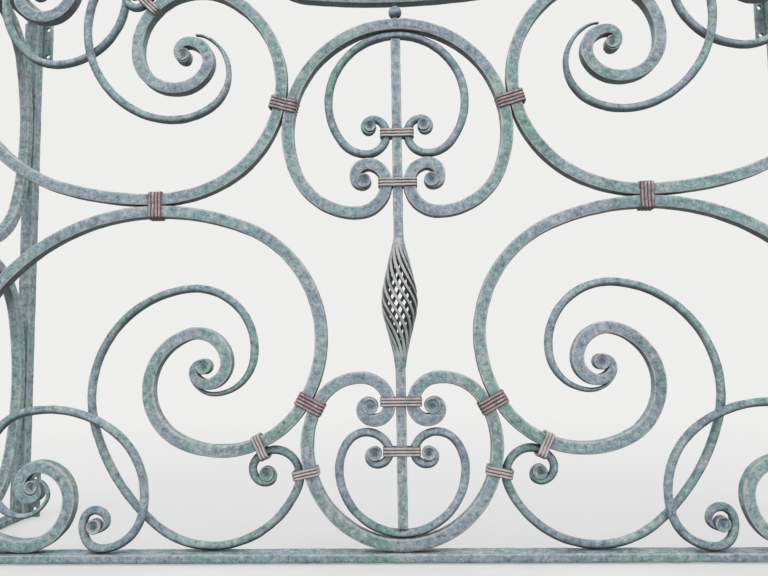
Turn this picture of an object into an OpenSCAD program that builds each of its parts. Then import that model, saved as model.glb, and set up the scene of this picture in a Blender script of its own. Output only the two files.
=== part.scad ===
// Wrought iron balcony railing with scrolls.
// X runs along the front, Y runs from the street to the wall, Z is up.
// Origin: centre of the wall face of the lower left wall plate.

/* [Bars] */
// Face and depth of the square scroll bars
bar = 20; // [18:0.5:21]
// Diameter of the round scroll bars
rod = 14; // [12:0.5:15]
// Face of the square baluster
baluster = 16; // [15:0.5:17]
// Air left between two bars that a collar binds
bind_gap = 0.2; // [0.1:0.1:0.4]

/* [Frame] */
// Clear height between the two rails
clear_h = 1028; // [930:1:1130]
// Half the clear width between the corner posts
half_clear = 762; // [700:1:840]
// Corner and wall post size
post = 25; // [20:1:30]
// Distance from the middle of the front to the wall
reach = 300; // [270:5:400]
// Bottom rail height
rail_h = 14; // [12:1:20]
// Bottom rail depth
rail_d = 36; // [30:1:44]
// Handrail height
hand_h = 16; // [12:1:22]
// Handrail width
hand_w = 42; // [36:1:50]

/* [Wall plates] */
// Plate width
plate_w = 60; // [60:1:80]
// Plate height
plate_h = 90; // [70:1:110]
// Plate thickness
plate_t = 6; // [5:1:8]
// Radius of a bolt hole
bolt_r = 4.5; // [3.5:0.5:5]

/* [Scroll anchors] */
// Distance from the middle to the collar between the two big scrolls
anchor_x = 400; // [380:1:420]
// Height of the centre line of the lower big scroll at that collar
anchor_z = 547; // [510:1:580]

/* [Collars] */
// Thickness of the collar band
band_t = 3; // [2:0.5:4]
// Length of a large collar along the bars
collar_l = 22; // [16:1:26]
// Length of a small collar along the bars
small_collar_l = 16; // [12:1:18]
// Depth of the groove between two beads
groove = 1.2; // [0.6:0.1:1.6]

/* [Basket] */
// Height of the twisted basket
basket_h = 210; // [180:5:220]
// Largest diameter of the basket
basket_d = 60; // [52:1:64]
// Thickness of a basket strand
strand = 5; // [4.5:0.5:6]
// Number of strands
strands = 12; // [8:1:12]
// Turn of each strand from end to end
basket_turn = 240; // [160:10:280]

/* [Hidden] */
$fn = 64;
seat = 0.1;
rod_y = rod / 2 - seat;
post_x = half_clear + post / 2;
wall_post_y = reach - plate_t - post / 2;
side_clear = wall_post_y - post;
bolt_x = plate_w - 18;
bolt_z = plate_h - 30;
ball_r = 11;

// The bends are drawn for bars of 20 and 14 mm: their drawn and real half thickness
bar_halves = [10, bar / 2];
rod_halves = [7, rod / 2];
// Drawn points [x, z] of the pattern: where the big scrolls meet, outer side of the ring and of the bow
between = [-400, 557.1];
ring_top = [0, 865];
bow_bottom = [0, 891];
// Drawn middle of the basket, and of the collars on the baluster: ring, inner ring, onion, inner onion
basket_middle = [0, 391];
stems = [[0, 587], [0, 670], [0, 232], [0, 154]];
// Drawn and real places from the middle outwards: baluster, collar between the big scrolls, corner post
places_x = [[0, 0], [8, baluster / 2], [-between[0], anchor_x], [762, half_clear]];
// Drawn and real levels from the bottom rail upwards: line between the big scrolls, handrail
places_z = [[0, 0], [between[1], anchor_z + bar / 2 + bind_gap / 2], [1028, clear_h]];
// Drawn and real depth between the posts of a side return, and height of both its scrolls
places_side = [[256.5, side_clear], [1028, clear_h]];

// Every scroll is a chain of tangent bends [radius, sweep] in the X-Z plane.
// A positive sweep turns left, a negative sweep turns right.
lower_big_in = [[400, -21], [204, -78], [163.5, -103], [90.9, -142.7],
  [47.6, -115.1], [32.5, -67.2], [23.6, -87.3], [15.2, -164]];
lower_big_out = [[349.5, 102.5], [142.4, 74.2], [72.7, 91], [53.5, 84.2], [30.8, 114.8],
  [16.7, 117.9], [13.1, 150.7]];
upper_big_in = [[234, 25], [192, 49.5], [175, 78.5], [102, 121.5],
  [65.1, 103.4], [53.8, 46.8], [34.2, 117.9], [17.6, 225]];
upper_big_out = [[547.5, -16], [276.2, -91], [117.5, -89.5],
  [67.5, -118.5], [46, -107], [31, -112], [19.3, -125]];
lower_round_left = [[146, -40], [317, -34], [175.5, -88], [118, -60], [91, -45.1], [80.1, -43.1], [56, -90]];
lower_round_right = [[139, 78.5], [90, 3], [29, 75], [38, 85], [21, 90], [11.7, 110]];
upper_round_path = [[60, -50], [72.8, -92.2], [103.8, -28.4], [130.5, -31], [163, -98], [430, -2],
  [43.5, -201.2], [19.4, -159.8], [11, -86.8]];
lower_end_up = [[60.5, 47], [91, 84], [240.5, 39.5], [79.5, 55], [93.9, 91.5], [46.3, 100.8], [23.8, 96.7]];
lower_end_curl = [[28.5, -62.2], [41.4, -44.2], [19.3, -121.9], [17, -78.2], [14.5, -100]];
upper_end_right = [[118, 45.5], [118.5, 36.5], [162.5, 36.5], [20.7, 87.4], [27.2, 62.7], [13.8, 142.6]];
upper_end_left = [[73.5, -40], [130, -52], [80, -60], [36, -60]];
onion_path = [[149.5, -117], [79, -63], [44, -90], [23.3, -135.9], [15.7, -73], [11.2, -169]];
inner_onion_path = [[100, -90], [70, -37], [37.8, -118.8], [20.2, -121.9], [13, -146], [7, -171.9]];
ring_path = [[180.6, 112], [109, 68], [48.2, 90], [27.4, 77], [26.6, 93.8], [17.8, 128.9]];
inner_ring_path = [[113, 128], [49.5, 52], [32.8, 119.8], [18.8, 99.2], [12.5, 131], [9, 134.3]];
bow_path = [[1200, -7], [90, -76]];
side_path = [[500, 17], [142, 73], [70, 90], [46, 87.5], [32.1, 79.6], [19.8, 96.7]];

// Ends that are forged thin: [length of the thinning, share of the width left at the tip]
whole = [0, 1];
big_eye = [90, 0.35];
middle_eye = [60, 0.4];
small_eye = [45, 0.45];
tail = [160, 0.3];

function bend_point(p, h, r, s) = let (g = sign(s)) p + r * g * [sin(h + s) - sin(h), cos(h) - cos(h + s)];

// Points [x, z, heading] along a chain, from its start to its end
function samples(p, h, list, i = 0) =
  i == len(list) ? [[p[0], p[1], h]] :
  let (r = list[i][0], s = list[i][1], n = max(2, ceil(abs(s) / (r < 40 ? 20 : 10))))
  concat([for (k = [0:n - 1]) let (q = bend_point(p, h, r, s * k / n)) [q[0], q[1], h + s * k / n]],
    samples(bend_point(p, h, r, s), h + s, list, i + 1));
function reversed(s) = [for (i = [len(s) - 1:-1:0]) [s[i][0], s[i][1], s[i][2] + 180]];
function mirrored(s) = [for (q = s) [-q[0], q[1], 180 - q[2]]];
function rest(s) = [for (i = [1:len(s) - 1]) s[i]];
function two_way(a, b) = concat(reversed(a), rest(b));
function both_sides(a) = two_way(a, mirrored(a));
function near(s, c, r) = [for (q = s) if (norm([q[0] - c[0], q[1] - c[1]]) < r) q];
// Lengths from the first sample to each sample
function lengths(s) = [for (i = 0, d = 0; i < len(s);
  d = i + 1 < len(s) ? d + norm([s[i + 1][0] - s[i][0], s[i + 1][1] - s[i][1]]) : d, i = i + 1) d];
// Share of the full width at the length d from an end
function width_share(d, end) = d < end[0] ? end[1] + (1 - end[1]) * d / end[0] : 1;

// A drawn place, stretched to the real width and height
function fit_x(x) = sign(x) * lookup(abs(x), places_x);
function fit_z(z) = lookup(z, places_z);
function fit_point(p) = [fit_x(p[0]), fit_z(p[1])];
// How much the drawing is stretched at v
function stretch(v, places, i = 1) = v > places[i][0] && i < len(places) - 1 ? stretch(v, places, i + 1)
  : (places[i][1] - places[i - 1][1]) / (places[i][0] - places[i - 1][0]);
function fit_angle(a, p) = atan2(stretch(p[1], places_z) * sin(a), stretch(abs(p[0]), places_x) * cos(a));
// Real levels: outer side of the ring, of the ring in it, of the bow, of the onion in the onion, basket
ring_z = fit_point(ring_top)[1];
inner_ring_z = ring_z - bar - seat;
bow_z = fit_point(bow_bottom)[1];
inner_onion_z = bar + 2 * seat;
basket_z = fit_point(basket_middle)[1];

// Stretches the outer side of a drawn bar and lays the real bar along it: turn is 1 where it bends to the
// left and -1 to the right, halves its drawn and real half thickness, lift what it is moved up
function fitted(s, turn, halves, lift = 0) = [for (q = s)
  let (a = turn * halves[0], b = turn * halves[1], h = fit_angle(q[2], q))
  [fit_x(q[0] + a * sin(q[2])) - b * sin(h), fit_z(q[1] - a * cos(q[2])) + b * cos(h) + lift, h]];

// The two ways in which a bar is bent from a drawn place p
function drawn_bar(p, left, right) = two_way(samples(p, 180, left), samples(p, 0, right));
lower_top = between - [0, bind_gap / 2 + bar_halves[0]];
upper_bottom = between + [0, bind_gap / 2 + bar_halves[0]];
lower_big_samples = fitted(drawn_bar(lower_top, lower_big_out, lower_big_in), -1, bar_halves);
upper_big_samples = fitted(drawn_bar(upper_bottom, upper_big_out, upper_big_in), 1, bar_halves);
rod_z = rod_halves[0] + seat;
round_foot = [-304, rod_z];
lower_round_samples = fitted(drawn_bar(round_foot, lower_round_left, lower_round_right), 1, rod_halves);
upper_round_samples = fitted(samples([-336.9, 846.8], -3.4, upper_round_path), -1, rod_halves);
end_foot = [-479, rod_z];
lower_end_samples = fitted(drawn_bar(end_foot, lower_end_curl, lower_end_up), 1, rod_halves);
end_dip = [-579, 808];
upper_end_samples = fitted(drawn_bar(end_dip, upper_end_left, upper_end_right), 1, rod_halves);
onion_samples = fitted(both_sides(samples([0, bar_halves[0] + seat], 180, onion_path)), 1, bar_halves);
ring_samples = fitted(both_sides(samples(ring_top - [0, bar_halves[0]], 180, ring_path)), -1, bar_halves);
// The inner bars seat on the inner side of the outer ones
inner_onion_drawn = 2 * bar_halves[0] + 2 * seat;
onion_lift = inner_onion_z - fit_z(inner_onion_drawn);
inner_onion_start = [0, inner_onion_drawn + rod_halves[0]];
inner_onion_samples = fitted(both_sides(samples(inner_onion_start, 180, inner_onion_path)),
  1, rod_halves, onion_lift);
inner_ring_drawn = ring_top[1] - 2 * bar_halves[0] - seat;
ring_lift = inner_ring_z - fit_z(inner_ring_drawn);
inner_ring_start = [0, inner_ring_drawn - rod_halves[0]];
inner_ring_samples = fitted(both_sides(samples(inner_ring_start, 180, inner_ring_path)),
  -1, rod_halves, ring_lift);

// Faces of a closed tube of n + 1 rings of m points
function tube_faces(n, m, quads) = concat(
  [[for (k = [m - 1:-1:0]) k]],
  [for (i = [0:n - 1]) for (k = [0:m - 1]) let (a = i * m + k, b = i * m + (k + 1) % m)
    each quads ? [[a, b, b + m, a + m]] : [[a, b, b + m], [a, b + m, a + m]]],
  [[for (k = [0:m - 1]) n * m + k]]);

// Sweeps an outline [across, depth] along samples; its first and last end are forged thin across
module sweep(s, outline, y = 0, first = whole, last = whole) {
  n = len(s) - 1;
  far = lengths(s);
  points = [for (i = [0:n])
    let (h = s[i][2], f = min(width_share(far[i], first), width_share(far[n] - far[i], last)))
    for (q = outline) [s[i][0] - sin(h) * q[0] * f, y + q[1], s[i][1] + cos(h) * q[0] * f]];
  polyhedron(points, tube_faces(n, len(outline), len(outline) == 4));
}

module square_sweep(s, first = whole, last = whole) {
  b = bar / 2;
  sweep(s, [[-b, -b], [b, -b], [b, b], [-b, b]], 0, first, last);
}

module round_sweep(s, y = 0, first = whole, last = whole) {
  sweep(s, [for (k = [0:5]) rod / 2 * [cos(60 * k + 30), sin(60 * k + 30)]], y, first, last);
}

// Sunk knob that closes the eye at a sample q: turn as in fitted, chain the bends that end there
module eye(q, turn, chain, stock, y = 0) {
  r = chain[len(chain) - 1][0];
  translate([q[0] - turn * r * sin(q[2]), y, q[1] + turn * r * cos(q[2])])
    rotate([90, 0, 0])
      cylinder(r = r, h = 0.7 * stock, center = true, $fn = 24);
}

// Weld that seats a bar on a flat face
module weld(x, z, w, h, y = 0, d = 12) {
  translate([x - w / 2, y - d / 2, z])
    cube([w, d, h]);
}

module place() {
  translate([post_x, -reach, rail_h - plate_h / 2])
    children();
}

module two_sided(left) {
  mirror([left ? 0 : 1, 0, 0])
    children();
}

function last_of(s) = s[len(s) - 1];

// Lower big scroll: head beside the onion, end spiral beside the corner post
module lower_big() {
  square_sweep(lower_big_samples, big_eye, big_eye);
  eye(lower_big_samples[0], -1, lower_big_out, bar);
  eye(last_of(lower_big_samples), -1, lower_big_in, bar);
  weld(fit_x(-603), 0, 16, 3);
  weld(-half_clear + 2, fit_z(196), 4, 16);
}

module upper_big() {
  square_sweep(upper_big_samples, middle_eye, big_eye);
  eye(upper_big_samples[0], 1, upper_big_out, bar);
  eye(last_of(upper_big_samples), 1, upper_big_in, bar);
  weld(fit_x(-626), clear_h - 3, 16, 3);
  weld(-half_clear + 2, fit_z(836), 4, 16);
}

// Round scroll that wraps the head of the lower big scroll
module lower_round() {
  round_sweep(lower_round_samples, rod_y, tail, small_eye);
  eye(last_of(lower_round_samples), 1, lower_round_right, rod, rod_y);
  weld(fit_x(round_foot[0]), 0, 14, 4, rod_y, 8);
}

module upper_round() {
  round_sweep(upper_round_samples, -rod_y, tail, small_eye);
  eye(last_of(upper_round_samples), -1, upper_round_path, rod, -rod_y);
}

module lower_end() {
  round_sweep(lower_end_samples, -rod_y, middle_eye, tail);
  eye(lower_end_samples[0], 1, lower_end_curl, rod, -rod_y);
  weld(fit_x(end_foot[0]), 0, 14, 4, -rod_y, 8);
}

module upper_end() {
  round_sweep(upper_end_samples, rod_y, tail, small_eye);
  eye(last_of(upper_end_samples), 1, upper_end_right, rod, rod_y);
  weld(fit_x(-497), clear_h - 4, 14, 4, rod_y, 8);
}

// Onion shaped pair of scrolls that stands on the bottom rail
module onion() {
  square_sweep(onion_samples, middle_eye, middle_eye);
  for (q = [onion_samples[0], last_of(onion_samples)])
    eye(q, 1, onion_path, bar);
  weld(0, 0, 20, 3);
}

module inner_onion() {
  round_sweep(inner_onion_samples, 0, middle_eye, middle_eye);
  for (q = [inner_onion_samples[0], last_of(inner_onion_samples)])
    eye(q, 1, inner_onion_path, rod);
}

module ring() {
  square_sweep(ring_samples, middle_eye, middle_eye);
  for (q = [ring_samples[0], last_of(ring_samples)])
    eye(q, -1, ring_path, bar);
}

module inner_ring() {
  round_sweep(inner_ring_samples, 0, middle_eye, middle_eye);
  for (q = [inner_ring_samples[0], last_of(inner_ring_samples)])
    eye(q, -1, inner_ring_path, rod);
}

// Shallow bow under the handrail that holds the finial
module bow() {
  s = fitted(both_sides(samples(bow_bottom + [0, bar_halves[0]], 180, bow_path)), 1, bar_halves);
  end = s[len(s) - 1];
  square_sweep(s);
  for (side = [-1, 1])
    translate([side * end[0] - bar / 2, -bar / 2, end[1] - 1])
      cube([bar, bar, clear_h - end[1] + 1]);
}

module finial() {
  translate([0, 0, ring_z])
    cylinder(r = 5, h = bow_z - ring_z);
  translate([0, 0, (ring_z + bow_z) / 2])
    sphere(r = ball_r);
}

module upright(z0, z1) {
  translate([-baluster / 2, -baluster / 2, z0])
    cube([baluster, baluster, z1 - z0]);
}

// Radius of the middle of a strand at the share t of the basket's height
function strand_r(t) = 4.5 + (basket_d / 2 - strand / 2 - 4.5) * pow(sin(180 * t), 1.4);

// One strand of the basket, swept along a bulging helix
module strand_bar(a0) {
  n = 20;
  b = strand / 2;
  rings = [for (i = [0:n]) let (t = i / n, a = a0 - basket_turn * t, r = strand_r(t))
    for (q = [[-b, -b], [-b, b], [b, b], [b, -b]])
      [(r + q[0]) * cos(a) - q[1] * sin(a), (r + q[0]) * sin(a) + q[1] * cos(a), basket_h * (t - 0.5)]];
  polyhedron(rings, tube_faces(n, 4, false));
}

module basket() {
  translate([0, 0, basket_z])
    for (i = [0:strands - 1])
      strand_bar(360 / strands * i);
  for (up = [0, 1])
    translate([0, 0, basket_z])
      mirror([0, 0, up])
        translate([0, 0, -basket_h / 2])
          cylinder(r1 = baluster / 2 + 0.5, r2 = 11, h = 24);
}

// Reeded band round bars that lie side by side: at p, along direction a, w across
module band(p, a, w, l, beads, y0, y1) {
  core = band_t - groove;
  pitch = l / beads;
  translate([p[0], 0, p[1]])
    rotate([0, -a, 0]) {
      translate([-l / 2 + 0.5, y0 - core, -w / 2 - core])
        cube([l - 1, y1 - y0 + 2 * core, w + 2 * core]);
      for (i = [0:beads - 1])
        translate([-l / 2 + pitch * i + 0.5, y0 - band_t, -w / 2 - band_t])
          cube([pitch - 1, y1 - y0 + 2 * band_t, w + 2 * band_t]);
    }
}

module bound(p, a, w, l, beads, y0, y1) {
  difference() {
    band(p, a, w, l, beads, y0, y1);
    children();
  }
}

module mid_collar() {
  c = fit_point(between);
  bound(c, 0, 2 * bar + 1, collar_l, 4, -bar / 2, bar / 2) {
    square_sweep(near(lower_big_samples, c, 90));
    square_sweep(near(upper_big_samples, c, 90));
  }
}

module ring_collar() {
  drawn = [-187, 718];
  c = fit_point(drawn);
  bound(c, fit_angle(102, drawn), 2 * bar + 1, collar_l, 4, -bar / 2, bar / 2) {
    square_sweep(near(upper_big_samples, c, 60));
    square_sweep(near(ring_samples, c, 60));
  }
}

module onion_collar() {
  drawn = [-139, 238];
  c = fit_point(drawn);
  bound(c, fit_angle(61, drawn), 2 * bar + 1, collar_l, 4, -bar / 2, bar / 2) {
    square_sweep(near(lower_big_samples, c, 60));
    square_sweep(near(onion_samples, c, 60));
  }
}

module foot_collar() {
  drawn = [-156, 128];
  c = fit_point(drawn);
  bound(c, fit_angle(96, drawn), bar + rod + 2, small_collar_l, 3, -bar / 2, rod) {
    round_sweep(near(lower_round_samples, c, 60), rod_y);
    square_sweep(near(onion_samples, c, 60));
  }
}

module small_collar() {
  drawn = [-222, 164];
  c = fit_point(drawn);
  bound(c, fit_angle(26, drawn), bar + rod + 2, small_collar_l, 3, -bar / 2, rod) {
    round_sweep(near(lower_round_samples, c, 36), rod_y);
    square_sweep(near(lower_big_samples, c, 60));
  }
}

module crest_collar() {
  drawn = [-415, 901];
  c = fit_point(drawn);
  bound(c, fit_angle(45, drawn), bar + rod + 2, small_collar_l, 3, -rod, bar / 2) {
    round_sweep(near(upper_round_samples, c, 40), -rod_y);
    square_sweep(near(upper_big_samples, c, 60));
  }
}

// Collar round the baluster and, on each side of it, a bar of that stock along the samples s
module stem_collar(z, s, stock, d) {
  half = min([for (q = s) if (abs(q[1] - z) < 20) abs(q[0])]) + stock / 2;
  bound([0, z], 90, 2 * half + 1, small_collar_l, 3, -d / 2, d / 2)
    children();
}

module corner() {
  translate([-post_x - post / 2, -post / 2, -rail_h])
    cube([post, post, clear_h + rail_h]);
}

// Fixing plate with four bolt holes, its back on the wall
module plate() {
  difference() {
    translate([-plate_w / 2, 0, -plate_h / 2])
      cube([plate_w, plate_t, plate_h]);
    for (x = [-bolt_x / 2, bolt_x / 2])
      for (z = [-bolt_z / 2, bolt_z / 2])
        translate([x, -1, z])
          rotate([-90, 0, 0])
            cylinder(r = bolt_r, h = plate_t + 2);
  }
}

// Wall post with a fixing plate at each end
module wall_post() {
  translate([-post_x - post / 2, wall_post_y - post / 2, -rail_h])
    cube([post, post, clear_h + rail_h]);
  for (z = [plate_h / 2 - rail_h, clear_h - plate_h / 2])
    translate([-post_x, reach - plate_t, z])
      plate();
}

module side_rail() {
  translate([-post_x - post / 2, post / 2, -rail_h])
    cube([post, wall_post_y - post, rail_h]);
}

module front_rail() {
  translate([-half_clear, -rail_d / 2, -rail_h])
    cube([2 * half_clear, rail_d, rail_h]);
}

// Handrail of one chamfered bar, mitred at both corners, from wall to wall
module top_rail() {
  w = hand_w / 2;
  c = hand_h / 4;
  outline = [[-w, 0], [w, 0], [w, hand_h - c], [w - c, hand_h], [c - w, hand_h], [-w, hand_h - c]];
  stations = [[-post_x, reach, -1, 0], [-post_x, 0, -1, -1], [post_x, 0, 1, -1], [post_x, reach, 1, 0]];
  points = [for (p = stations) for (q = outline) [p[0] + p[2] * q[0], p[1] + p[3] * q[0], clear_h + q[1]]];
  polyhedron(points, tube_faces(3, len(outline), true));
}

// Two C scrolls stacked in the side return
module side_scrolls() {
  mid = places_side[1][0] / 4;
  spine = places_side[0][0] / 2 - bar_halves[0] - seat;
  deep = places_side[0][1] / places_side[0][0];
  tall = places_side[1][1] / places_side[1][0];
  down = samples([spine, mid], -90, [for (b = side_path) [b[0], -b[1]]]);
  path = two_way(down, samples([spine, mid], 90, side_path));
  s = [for (q = path) let (h = atan2(tall * sin(q[2]), deep * cos(q[2])))
    [deep * (q[0] + sin(q[2]) * bar_halves[0]) - sin(h) * bar_halves[1],
      tall * (q[1] - cos(q[2]) * bar_halves[0]) + cos(h) * bar_halves[1], h]];
  translate([-post_x, wall_post_y / 2, 0])
    rotate([0, 0, 90]) {
      for (z = [0, clear_h / 2])
        translate([0, 0, z]) {
          square_sweep(s, middle_eye, middle_eye);
          for (q = [s[0], last_of(s)])
            eye(q, 1, side_path, bar);
          weld(side_clear / 2 - 2, clear_h / 4 - 10, 4, 20);
        }
      for (z = [0, clear_h / 2 - 3, clear_h - 3])
        weld(-38 * deep, z, 16, z == clear_h / 2 - 3 ? 6 : 3);
    }
}

module bottom_rail() {
  color("#6f9a92")
    place()
      front_rail();
}

module handrail() {
  color("#6f9a92")
    place()
      top_rail();
}

module onion_scroll() {
  color("#6f9a92")
    place()
      onion();
}

module inner_onion_scroll() {
  color("#6f9a92")
    place()
      inner_onion();
}

module upper_ring_scroll() {
  color("#6f9a92")
    place()
      ring();
}

module inner_ring_scroll() {
  color("#6f9a92")
    place()
      inner_ring();
}

module crest_bow() {
  color("#6f9a92")
    place()
      bow();
}

module ball_finial() {
  color("#6f9a92")
    place()
      finial();
}

module baluster_upper() {
  color("#6f9a92")
    place()
      upright(basket_z + basket_h / 2, inner_ring_z - rod - seat);
}

module baluster_lower() {
  color("#6f9a92")
    place()
      upright(inner_onion_z + rod + seat, basket_z - basket_h / 2);
}

module basket_cage() {
  color("#6f9a92")
    place()
      basket();
}

module mid_collars() {
  color("#8a6a70")
    place()
      for (left = [true, false])
        two_sided(left)
          mid_collar();
}

module ring_collars() {
  color("#8a6a70")
    place()
      for (left = [true, false])
        two_sided(left)
          ring_collar();
}

module onion_collars() {
  color("#8a6a70")
    place()
      for (left = [true, false])
        two_sided(left)
          onion_collar();
}

module foot_collars() {
  color("#8a6a70")
    place()
      for (left = [true, false])
        two_sided(left)
          foot_collar();
}

module small_collars() {
  color("#8a6a70")
    place()
      for (left = [true, false])
        two_sided(left)
          small_collar();
}

module crest_collars() {
  color("#8a6a70")
    place()
      for (left = [true, false])
        two_sided(left)
          crest_collar();
}

module lower_big_scroll_left() {
  color("#6f9a92")
    place()
      two_sided(true)
        lower_big();
}

module lower_big_scroll_right() {
  color("#6f9a92")
    place()
      two_sided(false)
        lower_big();
}

module upper_big_scroll_left() {
  color("#6f9a92")
    place()
      two_sided(true)
        upper_big();
}

module upper_big_scroll_right() {
  color("#6f9a92")
    place()
      two_sided(false)
        upper_big();
}

module lower_round_scroll_left() {
  color("#6f9a92")
    place()
      two_sided(true)
        lower_round();
}

module lower_round_scroll_right() {
  color("#6f9a92")
    place()
      two_sided(false)
        lower_round();
}

module upper_round_scroll_left() {
  color("#6f9a92")
    place()
      two_sided(true)
        upper_round();
}

module upper_round_scroll_right() {
  color("#6f9a92")
    place()
      two_sided(false)
        upper_round();
}

module lower_end_scroll_left() {
  color("#6f9a92")
    place()
      two_sided(true)
        lower_end();
}

module lower_end_scroll_right() {
  color("#6f9a92")
    place()
      two_sided(false)
        lower_end();
}

module upper_end_scroll_left() {
  color("#6f9a92")
    place()
      two_sided(true)
        upper_end();
}

module upper_end_scroll_right() {
  color("#6f9a92")
    place()
      two_sided(false)
        upper_end();
}

module corner_post_left() {
  color("#6f9a92")
    place()
      two_sided(true)
        corner();
}

module corner_post_right() {
  color("#6f9a92")
    place()
      two_sided(false)
        corner();
}

module wall_post_left() {
  color("#6f9a92")
    place()
      two_sided(true)
        wall_post();
}

module wall_post_right() {
  color("#6f9a92")
    place()
      two_sided(false)
        wall_post();
}

module side_rail_left() {
  color("#6f9a92")
    place()
      two_sided(true)
        side_rail();
}

module side_rail_right() {
  color("#6f9a92")
    place()
      two_sided(false)
        side_rail();
}

module side_scrolls_left() {
  color("#6f9a92")
    place()
      two_sided(true)
        side_scrolls();
}

module side_scrolls_right() {
  color("#6f9a92")
    place()
      two_sided(false)
        side_scrolls();
}

module collar_upper_ring() {
  z = fit_point(stems[0])[1];
  color("#8a6a70")
    place()
      stem_collar(z, ring_samples, bar, bar) {
        square_sweep(near(ring_samples, [-baluster / 2 - bar, z], 36));
        square_sweep(near(ring_samples, [baluster / 2 + bar, z], 36));
        upright(z - 30, z + 30);
      }
}

module collar_inner_ring() {
  z = fit_point(stems[1])[1] + ring_lift;
  color("#8a6a70")
    place()
      stem_collar(z, inner_ring_samples, rod, baluster) {
        round_sweep(near(inner_ring_samples, [-baluster / 2 - rod / 2, z], 30));
        round_sweep(near(inner_ring_samples, [baluster / 2 + rod / 2, z], 30));
        upright(z - 30, z + 30);
      }
}

module collar_onion() {
  z = fit_point(stems[2])[1];
  color("#8a6a70")
    place()
      stem_collar(z, onion_samples, bar, bar) {
        square_sweep(near(onion_samples, [-baluster / 2 - bar / 2, z], 36));
        square_sweep(near(onion_samples, [baluster / 2 + bar / 2, z], 36));
        upright(z - 30, z + 30);
      }
}

module collar_inner_onion() {
  z = fit_point(stems[3])[1] + onion_lift;
  color("#8a6a70")
    place()
      stem_collar(z, inner_onion_samples, rod, baluster) {
        round_sweep(near(inner_onion_samples, [-baluster / 2 - rod / 2, z], 30));
        round_sweep(near(inner_onion_samples, [baluster / 2 + rod / 2, z], 30));
        upright(z - 30, z + 30);
      }
}

bottom_rail();
handrail();
onion_scroll();
inner_onion_scroll();
upper_ring_scroll();
inner_ring_scroll();
crest_bow();
ball_finial();
baluster_upper();
baluster_lower();
basket_cage();
mid_collars();
ring_collars();
onion_collars();
foot_collars();
small_collars();
crest_collars();
lower_big_scroll_left();
lower_big_scroll_right();
upper_big_scroll_left();
upper_big_scroll_right();
lower_round_scroll_left();
lower_round_scroll_right();
upper_round_scroll_left();
upper_round_scroll_right();
lower_end_scroll_left();
lower_end_scroll_right();
upper_end_scroll_left();
upper_end_scroll_right();
corner_post_left();
corner_post_right();
wall_post_left();
wall_post_right();
side_rail_left();
side_rail_right();
side_scrolls_left();
side_scrolls_right();
collar_upper_ring();
collar_inner_ring();
collar_onion();
collar_inner_onion();
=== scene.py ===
import math

import bpy
from bpy.props import FloatProperty, FloatVectorProperty, PointerProperty
from mathutils import Matrix, Vector, noise


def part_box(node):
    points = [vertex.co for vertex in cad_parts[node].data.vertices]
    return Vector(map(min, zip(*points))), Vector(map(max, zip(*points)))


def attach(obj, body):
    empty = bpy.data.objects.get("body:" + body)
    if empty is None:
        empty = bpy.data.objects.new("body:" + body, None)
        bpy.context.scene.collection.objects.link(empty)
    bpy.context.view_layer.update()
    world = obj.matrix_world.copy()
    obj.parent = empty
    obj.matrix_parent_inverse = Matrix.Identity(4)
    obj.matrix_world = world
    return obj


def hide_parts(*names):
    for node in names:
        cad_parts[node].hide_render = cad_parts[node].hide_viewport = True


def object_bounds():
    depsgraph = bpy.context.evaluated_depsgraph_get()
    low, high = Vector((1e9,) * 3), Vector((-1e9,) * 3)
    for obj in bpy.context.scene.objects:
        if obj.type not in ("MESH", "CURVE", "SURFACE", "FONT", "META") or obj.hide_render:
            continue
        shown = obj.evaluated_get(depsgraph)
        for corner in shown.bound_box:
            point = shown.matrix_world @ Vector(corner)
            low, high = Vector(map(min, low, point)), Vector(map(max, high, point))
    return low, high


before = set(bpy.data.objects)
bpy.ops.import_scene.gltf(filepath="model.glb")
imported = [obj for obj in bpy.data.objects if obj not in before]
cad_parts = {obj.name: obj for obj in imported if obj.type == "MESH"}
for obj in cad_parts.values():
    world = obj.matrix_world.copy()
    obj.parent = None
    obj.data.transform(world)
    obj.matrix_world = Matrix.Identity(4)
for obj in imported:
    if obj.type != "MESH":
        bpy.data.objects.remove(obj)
CAD_BOX = [list(corner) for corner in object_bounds()]

bl_info = {
    "name": "Scrollwork Balcony Railing",
    "version": (1, 0, 0),
    "blender": (4, 5, 0),
    "location": "3D View > Sidebar > Railing",
    "description": "Forges the bars, collars, basket and rails of a scrollwork balcony railing",
    "category": "Add Mesh",
}

MM = 0.001
RAIL_LOW, RAIL_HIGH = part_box("bottom_rail")
HAND_LOW, HAND_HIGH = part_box("handrail")
# The pattern is drawn from here: the middle of the front, on top of the bottom rail
MIDDLE = Vector(((RAIL_LOW.x + RAIL_HIGH.x) / 2, (RAIL_LOW.y + RAIL_HIGH.y) / 2, RAIL_HIGH.z))
CLEAR = HAND_LOW.z - MIDDLE.z

# Each scroll is a chain of tangent bends: radius in mm, sweep in degrees
LOWER_BIG_IN = [(397.7, -22), (198, -100.7), (153.3, -84), (92.4, -134.2), (48.8, -108.6), (35, -65.8),
                (24.3, -96.4), (15.2, -167.3)]
LOWER_BIG_OUT = [(349.5, 102.5), (142.4, 74.2), (72.7, 91), (53.5, 84.2), (30.8, 114.8), (16.7, 117.9), (13.1, 150.7)]
UPPER_BIG_IN = [(234, 25), (192, 49.5), (175, 78.5), (102, 121.5), (65.1, 103.4), (53.8, 46.8), (34.2, 117.9),
                (17.6, 225)]
UPPER_BIG_OUT = [(547.5, -16), (276.2, -91), (117.5, -89.5), (67.5, -118.5), (46, -107), (31, -112), (19.3, -125)]
LOWER_ROUND_LEFT = [(145.8, -40), (317.4, -34.1), (174.5, -101.3), (97.9, -21.6), (100.5, -83.4), (66.1, -76.7),
                    (41.4, -81.9)]
LOWER_ROUND_RIGHT = [(148.4, 67.1), (43.8, 72.5), (38.2, 99.5), (21.7, 129.7), (14.1, 154.1)]
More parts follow.
